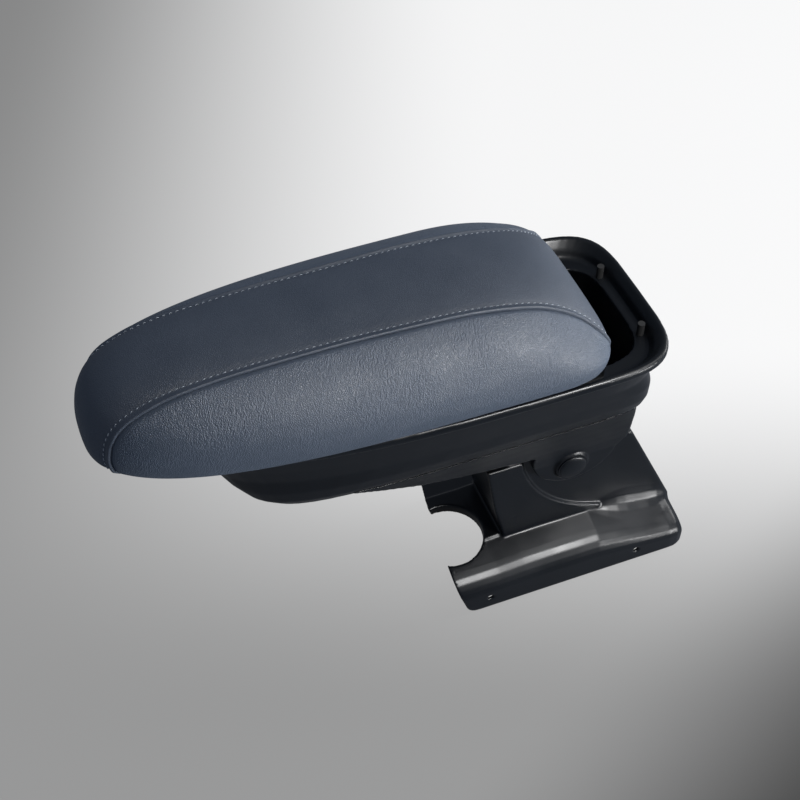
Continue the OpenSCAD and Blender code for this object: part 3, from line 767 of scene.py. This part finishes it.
    def side_sheet(self, side: Side, shares: Array, step: int = 1) -> Array:
        """Lays one side panel's rows on the lid, from the seam to the lower edge.

        Args:
            side: Which side.
            shares: Each row's place, from 0 at the seam to 1 at the lower edge.
            step: Takes only every so many columns.

        Returns:
            The points by row and column.
        """
        y = side.value * self.cast_from
        seam = self.cast_row(side.value * self.seam, self.angles)
        low = self.form.low + 0.01
        ends = [math.atan2(abs(seam[k, 1]) - abs(y), seam[k, 0] - self.middle()) for k in (0, -1)]
        spin = np.linspace(ends[0] % (2 * math.pi), ends[1], self.hem_turns) * side.value
        way = np.stack([np.cos(spin), np.sin(spin), np.zeros_like(spin)], axis=1)
        start = np.tile([self.middle(), y, low], (len(spin), 1))
        hem = even_along(self.form.cast(start, way), self.columns)[::step]
        seam = seam[::step]
        inset = self.heart_inset
        along = np.clip((seam[:, 0] + hem[:, 0]) / 2, self.form.front + inset,
                        self.form.rear - inset)
        heart = np.stack([along, np.full(len(seam), y * self.heart_share),
                          np.full(len(seam), low + self.heart_rise)], axis=1)
        rows = []
        for share in shares:
            aim = (seam - heart) * (1 - share) + (hem - heart) * share
            line = self.form.cast(heart, aim / np.linalg.norm(aim, axis=1)[:, None])
            rows.append(seam if share == 0 else line)
        return np.array(rows)

    def lifted(self, sheet: Array, lift: Array) -> Array:
        """Moves a sheet's points along the lid's normals, by a lift for each point."""
        flat = sheet.reshape(-1, 3)
        return (flat + self.form.normal(flat) * lift.reshape(-1, 1)).reshape(sheet.shape)

    def tuck_under(self, sheet: Array, axis: int) -> Array:
        """Turns a sheet's lower edges in under the carrier plate.

        Args:
            sheet: The sheet's points by row and column.
            axis: 1 to turn in both ends of every row, 0 to turn in the last row.

        Returns:
            The sheet with two more lines of points at each such edge.
        """
        def hems(edge: Array) -> list[Array]:
            """Gives the two lines that an edge is turned in along."""
            inward = (np.array([self.middle(), 0, 0]) - edge) * [1, 1, 0]
            inward = inward / np.linalg.norm(inward, axis=-1)[..., None]
            return [edge + inward * far + [0, 0, up] for far, up in self.hem]

        if axis == 0:
            near, far = hems(sheet[-1])
            return np.concatenate([sheet, near[None], far[None]])
        ahead, behind = hems(sheet[:, 0]), hems(sheet[:, -1])
        return np.concatenate([ahead[1][:, None], ahead[0][:, None], sheet, behind[0][:, None],
                               behind[1][:, None]], axis=1)

    def build_centre(self, swell: Array) -> bpy.types.Object:
        """Builds the centre panel with its folded edges.

        Args:
            swell: The coarse panel's shifts from the cloth simulation.

        Returns:
            The panel.
        """
        near = np.array(self.rows_at)
        inner = np.linspace(-1, 1, self.centre_rows)
        shares = np.concatenate([np.full(len(near), -1.0), inner, np.full(len(near), 1.0)])
        offsets = np.concatenate([near, np.full(len(inner), self.inner_from), near[::-1]])
        sheet = self.centre_sheet(shares, offsets, self.angles, self.seam)
        lift = np.repeat([self.seam_profile(abs(o)) if abs(s) == 1 else 0.0
                          for s, o in zip(shares, offsets)], self.columns)
        sheet = self.lifted(sheet, lift)
        place = (shares * (1 - offsets / self.mean_half) + 1) / 2
        sheet = self.tuck_under(sheet + stretch(swell, place, self.columns), axis=1)
        made = self.shop.piece("lid_centre_panel", sheet.reshape(-1, 3),
                               grid_faces(len(shares), sheet.shape[1]), "lid",
                               "leatherette_centre", CENTRE_HIDE)
        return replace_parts(made, "cover_centre")

    def build_side(self, side: Side, swell: Array) -> bpy.types.Object:
        """Builds one side panel between its seam and the lid's lower edge.

        Args:
            side: Which side.
            swell: The coarse panel's shifts from the cloth simulation.

        Returns:
            The panel.
        """
        shares = np.linspace(0, 1, self.side_rows) ** self.side_bias
        sheet = self.side_sheet(side, shares)
        from_seam = np.linalg.norm(sheet - sheet[0], axis=2)
        lift = np.interp(from_seam, self.dip_at, self.dip_height)
        sheet = self.lifted(sheet, lift) + stretch(swell, shares, self.columns)
        sheet = self.tuck_under(sheet, axis=0)
        # The side panels wear the hide painted lighter, as painted light for the low light on the
        # side
        made = self.shop.piece(f"lid_side_panel_{side.word}", sheet.reshape(-1, 3),
                               grid_faces(len(sheet), self.columns, flip=side is Side.LEFT), "lid",
                               "leatherette_side", SIDE_HIDE_PAINTED_LIGHTER)
        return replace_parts(made, f"cover_side_{side.word}")

    def build_stitches(self, side: Side) -> bpy.types.Object:
        """Sews the row of topstitches beside one seam.

        Args:
            side: Which seam.

        Returns:
            The row of stitches as one piece.
        """
        line = self.cast_row(side.value * (self.seam - self.stitch_from_fold), self.angles)
        normal = self.form.normal(line)
        run = np.concatenate([[0], np.cumsum(np.linalg.norm(np.diff(line, axis=0), axis=1))])
        count = int((run[-1] - 2 * self.stitch_margin) / self.stitch_pitch)
        ring, steps = self.stitch_grid
        points, faces = [], []
        for i in range(count):
            middle = self.stitch_margin + (i + 0.5) * self.stitch_pitch
            base = len(points)
            points += self.stitch_points(middle, run, line, normal)
            for j in range(steps - 1):
                for k in range(ring):
                    a, b = base + j * ring + k, base + j * ring + (k + 1) % ring
                    faces.append([a, b, b + ring, a + ring])
            faces.append([base + k for k in range(ring)][::-1])
            faces.append([base + (steps - 1) * ring + k for k in range(ring)])
        return self.shop.piece(f"lid_stitches_{side.word}", np.array(points), faces, "lid",
                               "leatherette_centre", THREAD)

    def stitch_points(self, middle: float, run: Array, line: Array, normal: Array) -> list:
        """Lays the rings of points of one stitch, which dips into the hide at both ends.

        Args:
            middle: The stitch's place along its line.
            run: The distance along the line at each of its points.
            line: The line's points.
            normal: The lid's outward normals at them.

        Returns:
            The points, ring by ring.
        """
        def at_run(values: Array, at: float) -> Array:
            """Reads off values at a distance along the line."""
            return np.array([np.interp(at, run, values[:, k]) for k in range(3)])

        ring, steps = self.stitch_grid
        lift = self.seam_profile(self.stitch_from_fold) + self.stitch_rise
        points = []
        for j in range(steps):
            t = j / (steps - 1) * 2 - 1
            at = middle + t * self.stitch_length / 2
            place, out = at_run(line, at), at_run(normal, at)
            out = out / np.linalg.norm(out)
            ahead = at_run(line, at + 0.5) - place
            ahead = ahead / np.linalg.norm(ahead)
            wide = np.cross(out, ahead)
            fat = self.stitch_radius * math.sqrt(max(0.04, 1 - abs(t) ** 3))
            centre = place + out * (lift - self.stitch_sag * t * t) + wide * t * self.stitch_slant
            for k in range(ring):
                a = 2 * math.pi * k / ring
                points.append(centre + (wide * math.cos(a) + out * math.sin(a) * 0.85) * fat)
        return points

    def build(self) -> None:
        """Builds the whole upholstery."""
        skip = math.ceil(self.columns / self.coarse)
        across = np.linspace(-1, 1, self.coarse_across)
        down = np.linspace(0, 1, self.coarse_down) ** self.side_bias
        coarse = [self.centre_sheet(across, np.zeros(len(across)), self.angles[::skip],
                                    self.seam[::skip])]
        coarse += [self.side_sheet(side, down, skip) for side in Side]
        centre, left, right = self.padding.swell(coarse, (False, True, False))
        self.build_centre(centre)
        for side, swell in ((Side.LEFT, left), (Side.RIGHT, right)):
            self.build_side(side, swell)
            self.build_stitches(side)
        self.shop.dress({"foam_pad": FOAM, "lid_plate": CARRIER_PP, "slide_runner_left": ACETAL,
                         "slide_runner_right": ACETAL, "runner_screws": ZINC_STEEL})


@dataclass
class StorageBox:
    """The box under the lid: its housings, tray, rails and pivot hardware."""

    shop: Workshop

    def build(self) -> None:
        """Casts the box's shells again and dresses its other pieces."""
        self.shop.remould("housing", GRAINED_ABS, "box", "grained_black", 1.15, 5)
        self.shop.remould("hinge_housing", GRAINED_ABS, "box", "grained_black", 0.85, 3)
        # The tray and rails wear the plastic painted lighter, as painted light on the rim and
        # inside the tray
        self.shop.remould("tray", TRAY_ABS_PAINTED_LIGHTER, "box", "tray_black", 1.2, 3)
        for word in (side.word for side in Side):
            self.shop.dress({f"pivot_cap_{word}": GRAINED_ABS, f"slide_rail_{word}": TRAY_ABS_PAINTED_LIGHTER,
                             f"pivot_bush_{word}": ACETAL})
        self.shop.dress({"tray_mat": FELT, "tray_screws": ZINC_STEEL, "rail_screws": ZINC_STEEL,
                         "lid_buffers": RUBBER})


@dataclass
class Pedestal:
    """The foot and neck, with the bracket and axle that they hide."""

    shop: Workshop

    def build(self) -> None:
        """Casts the pedestal's shell again and dresses its other pieces."""
        self.shop.remould("base_shell", GRAINED_ABS, "base", "grained_black", 0.85, 6)
        self.shop.dress({"neck_bracket": ZINC_STEEL, "shell_screws": ZINC_STEEL,
                         "pivot_axle": ZINC_STEEL, "axle_clips": SPRING_STEEL,
                         "friction_washers": ACETAL, "rest_buffer": RUBBER})


@dataclass(frozen=True)
class PaintedFloorTone:
    """A painted tone of light or shade on the floor's paper, and the stretch in metres over which
    it comes in.
    """

    colour: str
    way: tuple[float, float] = (1.0, 0.0)
    start: float = 0.0
    end: float = 1.0


@dataclass(frozen=True)
class Lamp:
    """One soft rectangular lamp that faces the armrest."""

    name: str
    place: tuple[float, float, float]
    width: float
    watts: float
    # Its height as a share of its width
    tall: float = 0.6
    # Whether it is seen in the gloss alone, as a far window would be
    only_gloss: bool = False
    aim: tuple[float, float, float] = (-0.1, 0.0, 0.15)

    def hang(self) -> None:
        """Adds the lamp to the scene."""
        made = bpy.data.lights.new(self.name, "AREA")
        made.shape = "RECTANGLE"
        made.size, made.size_y = self.width, self.width * self.tall
        made.energy = self.watts
        lamp = bpy.data.objects.new(self.name, made)
        lamp.location = self.place
        lamp.rotation_mode = "QUATERNION"
        way = Vector(self.aim) - Vector(self.place)
        lamp.rotation_quaternion = way.to_track_quat("-Z", "Y")
        lamp.visible_diffuse = not self.only_gloss
        bpy.context.scene.collection.objects.link(lamp)


@dataclass
class Studio:
    """The camera, the lamps and the floor of pale paper."""

    eye: tuple[float, float, float] = (-0.3283, -0.5483, 0.8418)
    azimuth: float = -21.0
    elevation: float = 48.0
    lens_mm: float = 60.75
    # Painted light and shade on the floor: grey, white towards the far right and painted shade at
    # the near right
    paper: tuple[PaintedFloorTone, ...] = (
        PaintedFloorTone("#8e8e8e"), PaintedFloorTone("#ffffff", (0.934, -0.358), -0.58, 0.0),
        PaintedFloorTone("#a0a0a0", (-0.358, -0.934), -0.2, 0.17),
        PaintedFloorTone("#404040", (0.407, -0.914), 0.1, 0.32))
    # Shares of the paper's own glow, for the camera, and of the paper in the object's gloss
    glow_share: float = 0.85
    gloss_share: float = 0.25
    dull_colour: str = "#7f8793"
    floor_reach: float = 6.0
    floor_level: float = -0.0008
    sky_colour: str = "#ccd8ec"
    sky_strength: float = 0.2
    lamps: tuple[Lamp, ...] = (
        Lamp("rear_key", (1.0, -1.2, 0.1), 0.4, 18), Lamp("over", (0.6, -0.1, 1.2), 0.5, 3.5),
        Lamp("rear_soft", (1.3, 0.1, 0.6), 0.7, 8),
        Lamp("sheen", (0.36, -0.82, 1.0), 0.24, 22, 1.8, True))

    def set_camera(self) -> None:
        """Puts the camera where the photograph was taken from."""
        a, e = math.radians(self.azimuth), math.radians(self.elevation)
        back = Vector((math.sin(a) * math.cos(e), -math.cos(a) * math.cos(e), math.sin(e)))
        made = bpy.data.cameras.new("camera")
        made.lens = self.lens_mm
        made.sensor_width = 36.0
        made.clip_start, made.clip_end = 0.01, 60.0
        camera = bpy.data.objects.new("camera", made)
        camera.location = self.eye
        camera.rotation_mode = "QUATERNION"
        camera.rotation_quaternion = (-back).to_track_quat("-Z", "Y")
        bpy.context.scene.collection.objects.link(camera)
        bpy.context.scene.camera = camera

    def set_floor(self) -> None:
        """Lays a pale floor just below the foot.

        The camera sees paper painted with light and shade, from grey on the left to white at the
        far right and painted shade at the near right. Most of it glows though it is no lamp, so
        that only a faint shadow lies on it. The object sees a dull floor, which keeps its lower
        edges dark as they are in the photograph.
        """
        made, tree = fresh_material("studio_floor")
        place = add_node(tree, "ShaderNodeTexCoord")
        axes = add_node(tree, "ShaderNodeSeparateXYZ", {}, {"Vector": place.outputs["Object"]})
        colour = add_node(tree, "ShaderNodeRGB").outputs["Color"]
        colour.default_value = linear(self.paper[0].colour)
        for tone in self.paper[1:]:
            share = add_node(tree, "ShaderNodeMapRange",
                             {"From Min": tone.start, "From Max": tone.end,
                              "interpolation_type": "SMOOTHSTEP"},
                             {"Value": self._along(tree, axes, tone.way)})
            mixed = add_node(tree, "ShaderNodeMix", {"data_type": "RGBA"},
                             {"Factor": share.outputs["Result"], "A": colour})
            mixed.inputs["B"].default_value = linear(tone.colour)
            colour = mixed.outputs["Result"]
        # The painted tones glow, standing in for the light on the floor
        glow = add_node(tree, "ShaderNodeEmission", {}, {"Color": colour})
        matt = add_node(tree, "ShaderNodeBsdfDiffuse", {}, {"Color": colour})
        seen = add_node(tree, "ShaderNodeMixShader", {"Fac": self.glow_share},
                        {1: matt.outputs["BSDF"], 2: glow.outputs["Emission"]})
        dull = add_node(tree, "ShaderNodeBsdfDiffuse", {"Color": linear(self.dull_colour)})
        ray = add_node(tree, "ShaderNodeLightPath")
        looked_at = add_node(tree, "ShaderNodeMath",
                             {"operation": "MULTIPLY_ADD", 1: self.gloss_share},
                             {0: ray.outputs["Is Glossy Ray"], 2: ray.outputs["Is Camera Ray"]})
        whole = add_node(tree, "ShaderNodeMixShader", {},
                         {"Fac": looked_at.outputs["Value"], 1: dull.outputs["BSDF"],
                          2: seen.outputs["Shader"]})
        add_node(tree, "ShaderNodeOutputMaterial", {}, {"Surface": whole.outputs["Shader"]})
        mesh = bpy.data.meshes.new("floor")
        reach, level = self.floor_reach, self.floor_level
        mesh.from_pydata([(-reach, -reach, level), (reach, -reach, level), (reach, reach, level),
                          (-reach, reach, level)], [], [(0, 1, 2, 3)])
        mesh.materials.append(made)
        floor = bpy.data.objects.new("floor", mesh)
        bpy.context.scene.collection.objects.link(floor)

    @staticmethod
    def _along(tree: bpy.types.NodeTree, axes: bpy.types.Node,
               way: tuple[float, float]) -> bpy.types.NodeSocket:
        """Measures how far a floor point lies along a direction.

        Args:
            tree: The material's node tree.
            axes: The node that separates X and Y.
            way: The direction's X and Y.

        Returns:
            The distance in metres.
        """
        first = add_node(tree, "ShaderNodeMath", {"operation": "MULTIPLY", 1: way[0]},
                         {0: axes.outputs["X"]})
        both = add_node(tree, "ShaderNodeMath", {"operation": "MULTIPLY_ADD", 1: way[1]},
                        {0: axes.outputs["Y"], 2: first.outputs["Value"]})
        return both.outputs["Value"]

    def set_world(self) -> None:
        """Fills the room with a weak even light."""
        world = bpy.data.worlds.new("studio")
        world.use_nodes = True
        bpy.context.scene.world = world
        sky = world.node_tree.nodes["Background"]
        sky.inputs["Color"].default_value = linear(self.sky_colour)
        sky.inputs["Strength"].default_value = self.sky_strength

    def build(self) -> None:
        """Sets up the whole studio."""
        bpy.context.scene.view_settings.view_transform = "Standard"
        self.set_camera()
        self.set_world()
        self.set_floor()
        for lamp in self.lamps:
            lamp.hang()


def main() -> None:
    """Builds the armrest's looks and its studio."""
    logging.basicConfig(level=logging.INFO, format="%(message)s")
    Studio().build()
    shop = Workshop()
    PaddedLid(shop).build()
    StorageBox(shop).build()
    Pedestal(shop).build()


if __name__ == "__main__":
    main()
